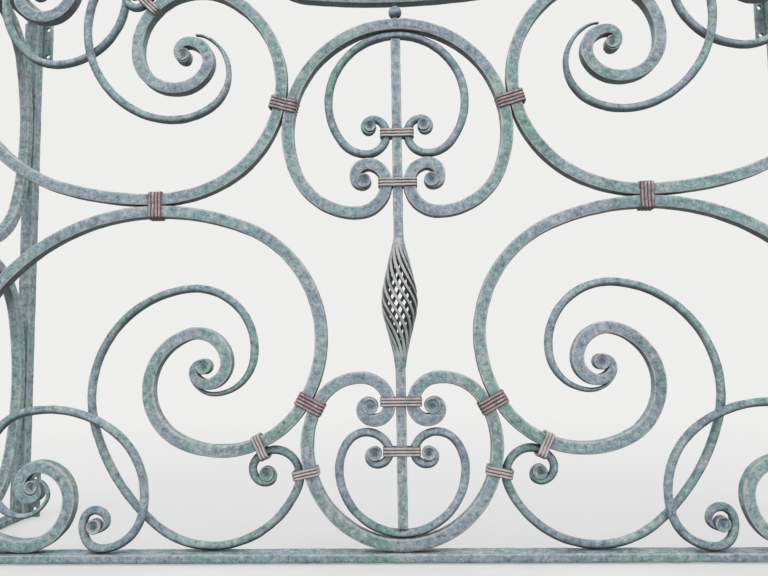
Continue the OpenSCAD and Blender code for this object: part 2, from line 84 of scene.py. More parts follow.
UPPER_ROUND_TAIL = [(103.4, 27.7), (72, 117.4), (36.2, 31)]
UPPER_ROUND = [(130.5, -31), (163, -98), (430, -2), (43.5, -201.2), (19.4, -159.8), (11, -86.8)]
LOWER_END_UP = [(66.4, 75.4), (126.2, 67.4), (181.7, 49.2), (75, 41.2), (92.6, 84.3), (46.3, 100.6), (23.7, 96.6)]
LOWER_END_CURL = [(28.5, -62.2), (41.4, -44.2), (19.3, -121.9), (17, -78.2), (14.5, -100)]
UPPER_END_RIGHT = [(118, 45.5), (118.5, 36.5), (162.5, 36.5), (20.7, 87.4), (27.2, 62.7), (13.8, 142.6)]
UPPER_END_LEFT = [(73.5, -40), (130, -52), (80, -60), (36, -60)]
ONION = [(150.7, -115.8), (78.2, -69.6), (43.2, -86), (23.3, -135.5), (15.4, -76.8), (11.2, -164.8)]
INNER_ONION = [(100, -90), (70, -37), (37.8, -118.8), (20.2, -121.9), (13, -146), (7, -171.9)]
RING = [(180.6, 112), (109, 68), (47.3, 97.2), (31.3, 66.2), (22.3, 119), (14.3, 146.5)]
INNER_RING = [(113, 128), (49.5, 52), (32.5, 120.7), (19.1, 91.3), (12.3, 134.5), (9.3, 137.7)]
BOW = [(1200, -7), (90, -76), (52, -7)]
SIDE = [(500, 17), (142, 73), (70, 90), (46, 87.5), (32.1, 79.6), (19.8, 96.7)]

# Levels and places of the pattern in mm: where the big scrolls meet, gaps between bars, first station of the others
ANCHOR_X, ANCHOR_Z, BIND_GAP, SEAT = 400, 547, 0.2, 0.1
RING_TOP, BOW_Z, BASKET_Z, BASKET_H = 855, 901, 391, 210
LOWER_ROUND_X, LOWER_END_X = -304, -479
UPPER_ROUND_START, UPPER_END_START = (-357.4, 701.7, -174), (-579, 808, 0)

# Place and radius in mm of the dished disc that a rolled end closes on
LOWER_IN_DISC, LOWER_OUT_DISC, UPPER_IN_DISC = (-317.8, 291.8, 12.8), (-594.9, 103.0, 11.0), (-356.2, 813.3, 11.2)
ONION_DISC, INNER_ONION_DISC = (49.9, 226.0, 13.2), (42.8, 151.0, 11.3)
RING_DISC, INNER_RING_DISC = (55.4, 590.8, 12.2), (43.8, 683.0, 9.9)
END_CURL_DISC = (-489.7, 41.7, 11.8)
# Radius of any other disc against the last bend round it, and of the hole in a rolled end against its disc
DISC_SHARE, HOLE_SHARE = 0.85, 0.97
# Face of a disc from its middle to its rim: share of its radius, depth below the rim; and how far the rim stands out
DISH = [(0.0, 0.0034), (0.25, 0.0032), (0.48, 0.0025), (0.66, 0.0014), (0.79, 0.0003), (0.87, 0.0), (0.95, 0.0003),
        (1.0, 0.0012)]
PROUD = 0.0009

# Ends that are forged thin across the bar: length of the thinning in mm, share of the width at the tip
ENDS = {"big_eye": (90, 0.35), "middle_eye": (60, 0.4), "small_eye": (45, 0.45), "tail": (160, 0.3)}
TAIL_DEPTH = 0.55   # Share of the depth at the tip of a tail
# Length of a rolled end that follows its disc, length that is sunk beside it, how far from its rim, and how deep
FOLLOWS, SUNK, BESIDE, SINK = 0.034, 0.060, 0.004, 0.0022

# Worn corners of the straight bars, and the bevel of their ends against it
BALUSTER_CORNER, RAIL_CORNER, POST_CORNER, HANDRAIL_CORNER, END_BEVEL = 0.0026, 0.0022, 0.0024, 0.0016, 0.7
# Faces of the wall posts and of the handrail; spacing of the handrail's rings and facets, and its rings' way to a mitre
WALL_POST, HANDRAIL, RINGS, FACETS, MITRE = 0.025, 0.042, 0.012, 0.007, 0.004
# Length and radius of the swaged ends of the baluster, and the core that isn't moved
SWAGE, SWAGE_RADIUS, SWAGE_CORE = 0.030, 0.0083, 0.006
# Fixing plates: size, height of the middle above the post's end, bevel, places of the holes and their radius
PLATE_SIZE, PLATE_UP, PLATE_BEVEL = (0.060, 0.006, 0.090), 0.045, 0.0009
HOLE_X, HOLE_Z, HOLE = 0.021, 0.030, 0.0045
# Depth of the hammer marks on collars and on the ball, against that on the bars
COLLAR_MARKS, BALL_MARKS = 6 / 11, 8 / 11

# Outer radius of the basket at heights from its middle, in mm
BASKET_OUTLINE = [(-105, 8.2), (-97, 8.8), (-75, 13.4), (-52, 19.0), (-29, 25.2), (-14, 28.7), (0, 29.9),
                  (15, 28.9), (32, 25.8), (47, 22.2), (62, 18.8), (78, 14.9), (96, 9.8), (105, 8.2)]
STRANDS, STRAND_DEPTH, STRAND_CORNER, STRAND_RINGS = 12, 0.0066, 0.0013, 64
# Twist of a strand from end to end, and how far it runs ahead between the middle and the ends
TWIST, TWIST_DRIFT = math.radians(-245), 0.025
# Cones that close the basket: height from its end, depth below its outline
CONE = [(0.0, 0.0), (0.005, 0.0001), (0.010, 0.0004), (0.015, 0.0009), (0.020, 0.0017), (0.026, 0.0032)]
CONE_TOP = 0.029

# Collars: lengths along the bars, thickness, depth of the reeds, corner, spacing of rings, pinch between two bars
BIG_COLLAR, SMALL_COLLAR = 0.022, 0.0148
COLLAR, REED, COLLAR_CORNER, COLLAR_PITCH, PINCH, PINCH_REACH = 0.0034, 0.0019, 0.003, 0.0025, 0.0013, 0.0045
# Strength of the groove and of the edge attribute for the number of beads
BEADS = {4: (1.45, 0.58), 3: (0.66, 1.05)}

# Camera: turn, tilt and roll in radians, place from MIDDLE, focal length in pixels of an image of that width
TURN, TILT, ROLL = -0.03714, 0.08727, -0.01408
CAMERA_PLACE, FOCAL_PIXELS, IMAGE_WIDTH, SENSOR = Vector((0.01656, -1.114, 0.3171)), 690, 768, 36
# Lights: their aim from MIDDLE; name, place from the aim, size, power
AIM = Vector((0, 0, 0.5))
LIGHTS = [("key", (-1.6, -2.2, 3.2), 2.4, 62), ("fill", (2.6, -2.6, 1.2), 2.6, 26),
          ("top", (0.2, -0.4, 3.4), 2.2, 30), ("back", (0.5, 2.8, 2.4), 2.6, 30)]
SKY, SKY_STRENGTH, FLOOR_SIZE, FLOOR_GAP = (0.90, 0.93, 0.96, 1), 0.45, 14, 0.002


def measure(name, description, default):
    """A length that a user may change"""
    return FloatProperty(name=name, description=description, default=default, unit="LENGTH")


def colour(name, description, *default):
    """A colour that a user may change"""
    return FloatVectorProperty(name=name, description=description, default=default, subtype="COLOR")


class RailingSizes(bpy.types.PropertyGroup):
    """Sizes of the bars and of the marks that the hammer left on them"""

    bar: measure("Square bar", "Face of the square scroll bars", 0.02)
    rod: measure("Round bar", "Diameter of the round scroll bars", 0.014)
    baluster: measure("Baluster", "Face of the middle baluster", 0.016)
    corner: measure("Worn corner", "Radius of a bar's worn corner", 0.0028)
    pitch: measure("Ring pitch", "Distance between two rings of a bar", 0.006)
    hammer: measure("Hammer marks", "Depth of the hammer marks", 0.0011)
    strand: measure("Strand", "Thickness of a basket strand", 0.0056)


class RailingFinish(bpy.types.PropertyGroup):
    """Colours of the patina and of the stage"""

    teal: colour("Teal", "Main patina colour", 0.255, 0.395, 0.400)
    green: colour("Green", "Greener patina", 0.225, 0.405, 0.345)
    lavender: colour("Lavender", "Bluer patina", 0.305, 0.365, 0.440)
    chalk: colour("Chalk", "Pale crust", 0.660, 0.685, 0.650)
    worn: colour("Worn edge", "Pale pinkish worn edges", 0.640, 0.610, 0.585)
    # Dark colour for random grime, and for the painted shade on undersides, sides and in hollows
    grime_and_shade: colour("Grime", "Dark grime below", 0.020, 0.032, 0.032)
    mauve: colour("Mauve", "Bare collar beads", 0.430, 0.300, 0.315)
    plum: colour("Plum", "Colour in collar grooves", 0.150, 0.048, 0.060)
    floor: colour("Floor", "Floor colour", 0.80, 0.80, 0.79)
    backdrop: colour("Backdrop", "Background colour", 0.86, 0.86, 0.85)


class Wire:
    """A node's output that takes part in sums and products"""

    def __init__(self, tree, socket):
        self.tree, self.socket = tree, socket

    def _reckon(self, operation, first, second):
        node = self.tree.nodes.new("ShaderNodeMath")
        node.operation = operation
        for socket, value in zip(node.inputs, (first, second)):
            if isinstance(value, Wire):
                self.tree.links.new(value.socket, socket)
            else:
                socket.default_value = value
        return Wire(self.tree, node.outputs[0])

    def __add__(self, other):
        return self._reckon("ADD", self, other)

    def __radd__(self, other):
        return self._reckon("ADD", other, self)

    def __sub__(self, other):
        return self._reckon("SUBTRACT", self, other)

    def __rsub__(self, other):
        return self._reckon("SUBTRACT", other, self)

    def __mul__(self, other):
        return self._reckon("MULTIPLY", self, other)

    def __rmul__(self, other):
        return self._reckon("MULTIPLY", other, self)


class Nodes:
    """Adds nodes to a tree"""

    def __init__(self, tree):
        self.tree = tree

    def node(self, kind, settings=None, inputs=None, output=0):
        """A node of that type: its settings are set first, then the values or wires of its sockets"""
        node = self.tree.nodes.new("ShaderNode" + kind)
        for key, value in (settings or {}).items():
            setattr(node, key, value)
        for key, value in (inputs or {}).items():
            if isinstance(value, Wire):
                self.tree.links.new(value.socket, node.inputs[key])
            else:
                node.inputs[key].default_value = value
        return Wire(self.tree, node.outputs[output])

    def spots(self, scale, detail=3.0, roughness=0.55):
        """Cloudy spots, from 0 to 1"""
        place = self.node("TexCoord", output="Object")
        return self.node("TexNoise", None, {"Vector": place, "Scale": scale, "Detail": detail, "Roughness": roughness})

    def painted(self, name):
        """An attribute of the mesh's points"""
        return self.node("Attribute", {"attribute_name": name}, output="Fac")

    def between(self, value, low, high):
        """0 below low, 1 above high, smooth between them"""
        return self.node("MapRange", {"interpolation_type": "SMOOTHSTEP"}, {0: value, 1: low, 2: high, 3: 0.0, 4: 1.0})

    def mix(self, share, first, second):
        """Colour from first to second"""
        first, second = (v if isinstance(v, Wire) else (*v, 1.0) for v in (first, second))
        return self.node("Mix", {"data_type": "RGBA"}, {0: share, 6: first, 7: second}, output=2)

    def over(self, coat, colour, value, low, high, share):
        """A coat with that share of a colour over it where value passes from low to high"""
        return self.mix(self.between(value, low, high) * share, coat, colour)

    def seen(self):
        """1 for rays that show the background: straight from the camera, in gloss or through glass"""
        camera, gloss, glass = (self.node("LightPath", output=f"Is {kind} Ray")
                                for kind in ("Camera", "Glossy", "Transmission"))
        return camera + gloss + glass


class Finish(Nodes):
    """Builds one node material"""

    def __init__(self, name):
        self.material = bpy.data.materials.new(name)
        self.material.use_nodes = True
        super().__init__(self.material.node_tree)
        self.shader = self.tree.nodes["Principled BSDF"]

    def put(self, socket, value):
        if isinstance(value, Wire):
            self.tree.links.new(value.socket, self.shader.inputs[socket])
        else:
            self.shader.inputs[socket].default_value = value


def patina(collar):
    """Verdigris over forged iron, with painted shade on undersides, sides and in hollows; on collars the grooves are
    plum and the beads are mauve and chalky
    """
    c = bpy.context.scene.railing_finish
    f = Finish("weathered_collar" if collar else "weathered_iron")
    facing = f.node("NewGeometry", output="Normal")
    below = 0.0 - f.node("SeparateXYZ", None, {0: facing}, output=2)
    depth = f.node("Math", {"operation": "ABSOLUTE"}, {0: f.node("SeparateXYZ", None, {0: facing}, output=1)})
    drift = f.spots(4.5, 2.0) * 0.62 + f.spots(15.0, 3.0, 0.5) * 0.38
    crust, grain, fine = f.spots(34.0, 5.0, 0.62), f.spots(110.0, 6.0, 0.68), f.spots(330.0, 4.0, 0.65)

    # Broad patches of colour
    coat = f.mix(f.between(drift, 0.44, 0.56), c.teal, c.lavender)
    coat = f.over(coat, c.green, f.spots(5.0, 3.0, 0.5), 0.48, 0.66, 0.75)
    coat = f.over(coat, c.chalk, crust, 0.50, 0.68, 0.38)
    coat = f.over(coat, c.grime_and_shade, 0.0 - crust, -0.47, -0.30, 0.20)
    coat = f.over(coat, c.worn, f.spots(12.5, 4.0, 0.6), 0.52, 0.70, 0.26)
    coat = f.over(coat, c.grime_and_shade, f.spots(5.5, 3.0, 0.5), 0.50, 0.66, 0.22)
    if collar:
        coat = f.mix(0.62 + f.between(f.spots(40.0, 4.0), 0.62, 0.40) * 0.30, coat, c.mauve)

    # Grain of the crust
    coat = f.over(coat, c.grime_and_shade, 0.0 - grain, -0.49, -0.36, 0.48)
    coat = f.over(coat, c.chalk, grain, 0.52, 0.65, 0.60)
    coat = f.over(coat, c.grime_and_shade, fine, 0.56, 0.68, 0.55)
    coat = f.over(coat, c.chalk, 0.0 - fine, -0.44, -0.33, 0.50)

    # Dirt in the discs, worn edges and grooves; painted shade with grime on undersides and in hollows, and painted
    # shade on sides
    coat = f.over(coat, c.grime_and_shade, f.painted("dirt") + (crust - 0.5) * 2.2, 0.25, 1.0, 0.62)
    coat = f.over(coat, c.worn, f.painted("edge") + (f.spots(70.0, 5.0, 0.65) - 0.5) * 1.3, 0.60, 1.05, 0.75)
    groove = f.painted("groove") + (f.spots(160.0, 3.0) - 0.5) * 0.30
    coat = f.over(coat, c.plum, groove, 0.22, 0.56, 0.94 if collar else 0.80)
    # Painted shade with grime: faces that look down are darkened
    coat = f.over(coat, c.grime_and_shade, below + (f.spots(55.0, 4.0) - 0.5) * 0.5, 0.02, 0.72, 0.86)
    # Painted shade: faces turned sideways from the front are darkened, more where they also look down
    side = 1.0 - f.between(depth + (f.spots(48.0, 4.0) - 0.5) * 0.3, 0.25, 0.80)
    coat = f.mix(side * f.between(below, -0.25, 0.45) * 0.35, coat, c.grime_and_shade)
    # Painted shade with grime: ambient occlusion darkens hollows and the gaps between bars and collars
    hollow = f.node("AmbientOcclusion", {"samples": 6, "only_local": False}, {"Distance": 0.012}, output="AO")
    coat = f.mix((1.0 - f.between(hollow, 0.25, 0.85)) * 0.62, coat, c.grime_and_shade)

    blows = f.node("TexVoronoi", {"feature": "SMOOTH_F1"},
                   {"Vector": f.node("TexCoord", output="Object"), "Scale": 70.0, "Smoothness": 0.35})
    height = blows * 0.55 + crust * 0.25 + grain * 0.30
    f.put("Base Color", coat)
    f.put("Roughness", 0.90 - grain * 0.45)
    f.put("Metallic", 0.0)
    f.put("Specular IOR Level", 0.45)
    f.put("Normal", f.node("Bump", None, {"Strength": 1.0, "Distance": 0.0022, "Height": height}))
    return f.material


def plaster():
    """Plain pale floor that takes the shadows near the railing and fades into the background further off"""
    c = bpy.context.scene.railing_finish
    f = Finish("pale_floor")
    f.put("Base Color", f.mix(f.spots(1.5, 2.0) * 0.5, c.floor, [v * 0.97 for v in c.floor]))
    f.put("Roughness", 0.9)
    place = f.node("TexCoord", output="Object")
    away = f.node("VectorMath", {"operation": "DISTANCE"}, {0: place, 1: MIDDLE}, output="Value")
    share = f.seen() * (f.between(away, 0.5, 2.6) * 0.5 + 0.5)
    glow = f.node("Emission", None, {"Color": (*c.backdrop, 1.0)})
    both = f.node("MixShader", None, {0: share, 1: Wire(f.tree, f.shader.outputs[0]), 2: glow})
    f.tree.links.new(both.socket, f.tree.nodes["Material Output"].inputs["Surface"])
    return f.material


FINISHES = {
    "iron_patina": ("weathered_iron", lambda: patina(False)),
    "collar_patina": ("weathered_collar", lambda: patina(True)),
    "pale_floor": ("pale_floor", plaster),
}


def finish_of(slot):
    """The material of a slot, made the first time that it is asked for"""
    name, make = FINISHES[slot]
    return bpy.data.materials.get(name) or make()


class Sheet:
    """The plane in which a bar is bent: along and up lie in it, deep stands on it"""

    def __init__(self, origin, along, up, deep):
        self.origin, self.along, self.up, self.deep = (Vector(v) for v in (origin, along, up, deep))

    def at(self, x, z, y=0.0):
        return self.origin + self.along * x + self.up * z + self.deep * y

    def across(self, heading):
        """Across a bar that heads that way, towards its left"""
        lean = math.radians(heading)
        return self.up * math.cos(lean) - self.along * math.sin(lean)


def panel(side):
    """The front panel, seen from outside; side is 1 for the left half and -1 for the mirrored right half"""
    return Sheet(MIDDLE, (side, 0, 0), (0, 0, 1), (0, 1, 0))


def square_section(across, depth, corner):
    """Outline of a square bar with worn corners: (across, depth, edge) points, where edge is 1 on a corner"""
    points = []
    for sx, sy, start in ((1, 1, 0), (-1, 1, 90), (-1, -1, 180), (1, -1, 270)):
        cx, cy = sx * (across / 2 - corner), sy * (depth / 2 - corner)
        for k in range(3):
            a = math.radians(start + 45 * k)
            points.append((cx + corner * math.cos(a), cy + corner * math.sin(a), 1.0 if k == 1 else 0.75))
        x, y, _ = points[-1]
        # The flat runs on to the next corner
        nx, ny = (-cx, y) if start in (0, 180) else (x, -cy)
        points += [(x + (nx - x) * k / 3, y + (ny - y) * k / 3, 0.0) for k in (1, 2)]
    return points


def round_section(radius, count=14):
    """Outline of a round bar"""
    turns = [2 * math.pi * k / count for k in range(count)]
    return [(radius * math.cos(a), radius * math.sin(a), 0.35) for a in turns]


def put_outline(name, points):
    """A closed line of edges through the points, as the active object in edit mode, selected all over"""
    bpy.ops.object.select_all(action="DESELECT")
    bpy.ops.mesh.primitive_circle_add(vertices=len(points), fill_type="NOTHING")
    piece = bpy.context.active_object
    piece.name = piece.data.name = name
    for vertex, point in zip(piece.data.vertices, points):
        vertex.co = point
    bpy.ops.object.mode_set(mode="EDIT")
    bpy.ops.mesh.select_all(action="SELECT")
    return piece


def put_loop(name, sheet, x, z, heading, y, section):
    """A bar's outline, put across it at a point of the sheet"""
    middle, normal = sheet.at(x, z, y), sheet.across(heading)
    return put_outline(name, [middle + normal * p[0] + sheet.deep * p[1] for p in section])


def pick(piece, numbers):
    """Selects the points with these numbers, and no others, in edit mode"""
    bpy.ops.object.mode_set(mode="EDIT")
    bpy.ops.mesh.select_all(action="DESELECT")
    bpy.ops.object.mode_set(mode="OBJECT")
    for number in numbers:
        piece.data.vertices[number].select = True
    bpy.ops.object.mode_set(mode="EDIT")


def weld(distance):
    """Merges the active object's points that are this close and turns its faces outwards"""
    bpy.ops.object.mode_set(mode="EDIT")
    bpy.ops.mesh.select_all(action="SELECT")
    bpy.ops.mesh.remove_doubles(threshold=distance)
    bpy.ops.mesh.normals_make_consistent(inside=False)
    bpy.ops.object.mode_set(mode="OBJECT")


def seal():
    """Fills the open ends of the active object and turns its faces outwards"""
    bpy.ops.object.mode_set(mode="EDIT")
    bpy.ops.mesh.select_all(action="SELECT")
    bpy.ops.mesh.fill_holes(sides=0)
    bpy.ops.mesh.select_all(action="SELECT")
    bpy.ops.mesh.normals_make_consistent(inside=False)
    bpy.ops.object.mode_set(mode="OBJECT")


def bend(x, z, heading, radius, sweep):
    """Centre (x, z) of a bend, and the station (x, z, heading) at its end"""
    side = radius if sweep > 0 else -radius
    start, end = math.radians(heading), math.radians(heading + sweep)
    cx, cz = x - math.sin(start) * side, z + math.cos(start) * side
    return (cx, cz), (cx + math.sin(end) * side, cz - math.cos(end) * side, heading + sweep)


def follow(sheet, x, z, heading, bends, y, pitch):
    """Draws the selected loop along a chain of bends, and gives the station (x, z, heading) of every ring"""
    stations = []
    for radius, sweep in bends:
        if sweep:
            centre, _ = bend(x, z, heading, radius, sweep)
            # Two rings at least, and no more than about 9 degrees from one to the next
            steps = max(2, round(abs(math.radians(sweep)) * radius / pitch), round(abs(sweep) / 9))
            bpy.ops.mesh.spin(steps=steps, angle=-math.radians(sweep), center=sheet.at(*centre, y),
                              axis=sheet.along.cross(sheet.up))
            stations += [bend(x, z, heading, radius, sweep * k / steps)[1] for k in range(1, steps + 1)]
        else:
            # A straight run, as long as its radius says
            steps = max(1, round(radius / pitch))
            dx, dz = (turn(math.radians(heading)) * radius / steps for turn in (math.cos, math.sin))
            for k in range(1, steps + 1):
                bpy.ops.mesh.extrude_edges_move(TRANSFORM_OT_translate={"value": sheet.along * dx + sheet.up * dz})
                stations.append((x + dx * k, z + dz * k, heading))
        x, z, heading = stations[-1]
    return stations


def ease(t):
    """From 0 to 1, slow at both ends"""
    t = min(1.0, max(0.0, t))
    return t * t * (3 - 2 * t)


class Bar:
    """A bar that grows from a middle station both ways, ring by ring, and is then worked at its ends"""

    def __init__(self, name, sheet, section, x, z, heading, y=0.0):
        self.sheet, self.section, self.y, self.first = sheet, section, y, (x, z, heading)
        self.object = put_loop(name, sheet, x, z, heading, y, section)
        self.ways, self.rings = [], 1

    def grow(self, bends, back=False):
        """Draws the bar on from its first ring; back is against its heading"""
        x, z, heading = self.first
        turned = 180 if back else 0
        if back:
            pick(self.object, range(len(self.section)))
        bends = [(radius * MM, sweep) for radius, sweep in bends]
        stations = follow(self.sheet, x, z, heading + turned, bends, self.y, bpy.context.scene.railing_sizes.pitch)
        self.ways.append((self.rings, [(a, b, h - turned) for a, b, h in stations]))
        self.rings += len(stations)

    def ring(self, number):
        """The points of one ring, in the section's order"""
        count = len(self.section)
        return self.object.data.vertices[number * count : (number + 1) * count]

    def draw_out(self, way, length, share, disc=None):
        """Forges an end thin across; a rolled end closes in on its disc (middle, radius)"""
        number, stations = self.ways[way]
        far = 0.0
        for k in range(len(stations) - 1, -1, -1):
            if far > length:
                break
            ring = self.ring(number + k)
            across = share + (1 - share) * min(1.0, far / length)
            self.scale(ring, stations[k], across, 1.0 if disc else TAIL_DEPTH + (1 - TAIL_DEPTH) * ease(far / length))
            if disc:
                self.lean(ring, disc, ease(far / FOLLOWS), 1 - ease(far / SUNK))
            if k:
                far += math.dist(stations[k][:2], stations[k - 1][:2])

    def scale(self, ring, station, across, depth):
        """Scales a ring round its station, across the bar and in depth"""
        x, z, heading = station
        middle, normal, deep = self.sheet.at(x, z, self.y), self.sheet.across(heading), self.sheet.deep
        for vertex in ring:
            off = vertex.co - middle
            vertex.co = middle + normal * off.dot(normal) * across + deep * off.dot(deep) * depth

    def lean(self, ring, disc, free, hollow):
        """Draws what stands out over the disc back to its rim, and sinks the face beside the rim"""
        middle, radius = disc
        half = max(p[0] for p in self.section)
        for vertex in ring:
            off = vertex.co - middle
            depth = off.dot(self.sheet.deep)
            flat = off - self.sheet.deep * depth
            reach = flat.length
            if reach > radius:
                vertex.co += flat * ((radius + (reach - radius) * free) / reach - 1)
            beside = 1 - ease((reach - radius) / BESIDE)
            vertex.co -= self.sheet.deep * SINK * hollow * beside * depth / half

    def close(self):
        """Fills both ends and marks the worn edges"""
        seal()
        mark(self.object, "edge", [p[2] for p in self.section])
        return self.object


def mark(piece, name, values):
    """Gives the points of a piece an attribute; its values are used over and over, in the points' order"""
    attribute = piece.data.attributes.get(name) or piece.data.attributes.new(name, "FLOAT", "POINT")
    for number, item in enumerate(attribute.data):
        item.value = values[number % len(values)]


def lathe(name, middle, axis, profile, steps=24):
    """Spins a profile of (radius, height) points round an axis through middle, on which it starts and ends"""
    axis = Vector(axis).normalized()
    side = axis.orthogonal().normalized()
    piece = put_outline(name, [Vector(middle) + side * r + axis * h for r, h in profile])
    # The edge along the axis goes
    pick(piece, (0, len(profile) - 1))
    bpy.ops.mesh.delete(type="EDGE")
    bpy.ops.mesh.select_all(action="SELECT")
    bpy.ops.mesh.spin(steps=steps, angle=2 * math.pi, center=middle, axis=axis)
    weld(1e-6)
    mark(piece, "edge", [0.2])
    return piece


def knob(sheet, middle, radius, half):
    """Dished disc with a raised rim that the rolled end of a bar closes on"""
    front = [(radius * share, low - half - PROUD) for share, low in DISH]
    back = [(radius * share, half - low) for share, low in reversed(DISH)]
    piece = lathe("knob", middle, sheet.deep, front + back, 30)
    far = []
    for vertex in piece.data.vertices:
        off = vertex.co - middle
        far.append((off - sheet.deep * off.dot(sheet.deep)).length / radius)
    mark(piece, "edge", [0.80 if share > 0.75 else 0.25 for share in far])
    mark(piece, "dirt", [1 - ease((share - 0.2) / 0.5) for share in far])
    return piece


def activate(piece):
    """Makes a piece the only selected object and the active one"""
    bpy.ops.object.select_all(action="DESELECT")
    piece.select_set(True)
    bpy.context.view_layer.objects.active = piece


def join(pieces):
    """One object of several, named as the first"""
    activate(pieces[0])
    for piece in pieces:
        piece.select_set(True)
    if len(pieces) > 1:
        bpy.ops.object.join()
    return bpy.context.view_layer.objects.active


def hammer(piece, depth, size):
    """Dents a surface as a hammer does; nothing rises above the bar's true outline"""
    piece.data.update()
    normals = [v.normal.copy() for v in piece.data.vertices]
    for vertex, normal in zip(piece.data.vertices, normals):
        place = vertex.co / size
        dent = noise.noise(place) * 0.65 + noise.noise(place * 2.7 + Vector((7, 3, 1))) * 0.35
        vertex.co += normal * depth * min(0.0, dent - 0.12)


def finished(piece, node, marks=1.0, size=0.030, slot="iron_patina", angle=40):
    """Hammer marks, smooth shading, material, body and the node that the piece stands for"""
    hammer(piece, bpy.context.scene.railing_sizes.hammer * marks, size)
    activate(piece)
    bpy.ops.object.transform_apply(location=True, rotation=True, scale=True)
    bpy.ops.object.shade_smooth_by_angle(angle=math.radians(angle))
    piece.data.materials.clear()
    piece.data.materials.append(finish_of(slot))
    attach(piece, "root")
    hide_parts(node)


def last_bend(x, z, heading, bends):
    """End (x, z), centre (x, z) and radius of the last bend of a chain"""
    for radius, sweep in bends:
        centre, (x, z, heading) = bend(x, z, heading, radius, sweep)
    return (x, z), centre, radius


def turned(bends):
    """The same chain, bent the other way"""
    return [(radius, -sweep) for radius, sweep in bends]


def scroll(name, sheet, kind, x, z, heading, ways, y=0.0):
    """A scroll bar of the panel: each way is (bends, end, disc), the second one running back"""
    sizes = bpy.context.scene.railing_sizes
    half = sizes.bar / 2 if kind == "square" else sizes.rod / 2
    section = square_section(sizes.bar, sizes.bar, sizes.corner) if kind == "square" else round_section(half)
    bar = Bar(name, sheet, section, x * MM, z * MM, heading, y * MM)
    for k, (bends, _, _) in enumerate(ways):
        bar.grow(bends, back=k == 1)
    bpy.ops.object.mode_set(mode="OBJECT")
    discs = []
    for k, (bends, end, disc) in enumerate(ways):
        if not end:
            continue
        length, share = ENDS[end]
        if end == "tail":
            bar.draw_out(k, length * MM, share)
            continue
        if disc is None:
            _, centre, radius = last_bend(x, z, heading + 180 * k, bends)
            disc = (*centre, radius * DISC_SHARE)
        middle, radius = sheet.at(disc[0] * MM, disc[1] * MM, y * MM), disc[2] * MM
        bar.draw_out(k, length * MM, share, (middle, radius * HOLE_SHARE))
        discs.append((middle, radius))
    piece = bar.close()
    return join([piece] + [knob(sheet, middle, radius, half) for middle, radius in discs])


def forge(name, *arguments, **more):
    """A finished scroll that stands for the node of its name"""
    finished(scroll(name, *arguments, **more), name)


class RAILING_OT_big_scrolls(bpy.types.Operator):
    """Forges the four big scrolls of square bar"""

    bl_idname = "railing.big_scrolls"
    bl_label = "Big Scrolls"

    def execute(self, context):
        bar = context.scene.railing_sizes.bar / MM
        for side, hand in ((1, "left"), (-1, "right")):
            forge(f"lower_big_scroll_{hand}", panel(side), "square", -ANCHOR_X, ANCHOR_Z, 0,
                  [(LOWER_BIG_IN, "big_eye", LOWER_IN_DISC), (LOWER_BIG_OUT, "big_eye", LOWER_OUT_DISC)])
            forge(f"upper_big_scroll_{hand}", panel(side), "square", -ANCHOR_X, ANCHOR_Z + bar + BIND_GAP, 0,
                  [(UPPER_BIG_IN, "big_eye", UPPER_IN_DISC), (UPPER_BIG_OUT, "middle_eye", None)])
        return {"FINISHED"}


class RAILING_OT_round_scrolls(bpy.types.Operator):
    """Forges the scrolls of round bar that cross one another"""

    bl_idname = "railing.round_scrolls"
    bl_label = "Round Scrolls"

    def execute(self, context):
        near = context.scene.railing_sizes.rod / 2 / MM - SEAT
        foot = near + 2 * SEAT
        for side, hand in ((1, "left"), (-1, "right")):
            forge(f"lower_round_scroll_{hand}", panel(side), "round", LOWER_ROUND_X, foot, 0,
                  [(LOWER_ROUND_RIGHT, "small_eye", None), (LOWER_ROUND_LEFT, "tail", None)], y=near)
            forge(f"upper_round_scroll_{hand}", panel(side), "round", *UPPER_ROUND_START,
                  [(UPPER_ROUND, "small_eye", None), (UPPER_ROUND_TAIL, "tail", None)], y=-near)
            forge(f"lower_end_scroll_{hand}", panel(side), "round", LOWER_END_X, foot, 0,
                  [(LOWER_END_UP, "tail", None), (LOWER_END_CURL, "middle_eye", END_CURL_DISC)], y=-near)
            forge(f"upper_end_scroll_{hand}", panel(side), "round", *UPPER_END_START,
                  [(UPPER_END_RIGHT, "small_eye", None), (UPPER_END_LEFT, "tail", None)], y=near)
        return {"FINISHED"}


def paired(name, kind, z, bends, disc):
    """Forges one bar bent alike to both sides of the baluster"""
    x, level, radius = disc
    forge(name, panel(1), kind, 0, z, 0,
          [(turned(bends), "middle_eye", disc), (bends, "middle_eye", (-x, level, radius))])


class RAILING_OT_centre_scrolls(bpy.types.Operator):
    """Forges the onion and the rings round the baluster, and the bow above them"""

    bl_idname = "railing.centre_scrolls"
    bl_label = "Centre Scrolls"

    def execute(self, context):
        sizes = context.scene.railing_sizes
        bar, rod = sizes.bar / 2 / MM, sizes.rod / 2 / MM
        paired("onion_scroll", "square", bar + SEAT, ONION, ONION_DISC)
        paired("inner_onion_scroll", "round", 2 * bar + rod + 2 * SEAT, INNER_ONION, INNER_ONION_DISC)
        paired("upper_ring_scroll", "square", RING_TOP, RING, RING_DISC)
        paired("inner_ring_scroll", "round", RING_TOP - bar - rod - SEAT, INNER_RING, INNER_RING_DISC)
        (_, top), _, _ = last_bend(0, BOW_Z, 180, BOW)
        arm = [(CLEAR / MM - top, 0)]
        forge("crest_bow", panel(1), "square", 0, BOW_Z, 0, [(turned(BOW) + arm, "", None), (BOW + arm, "", None)])
        return {"FINISHED"}


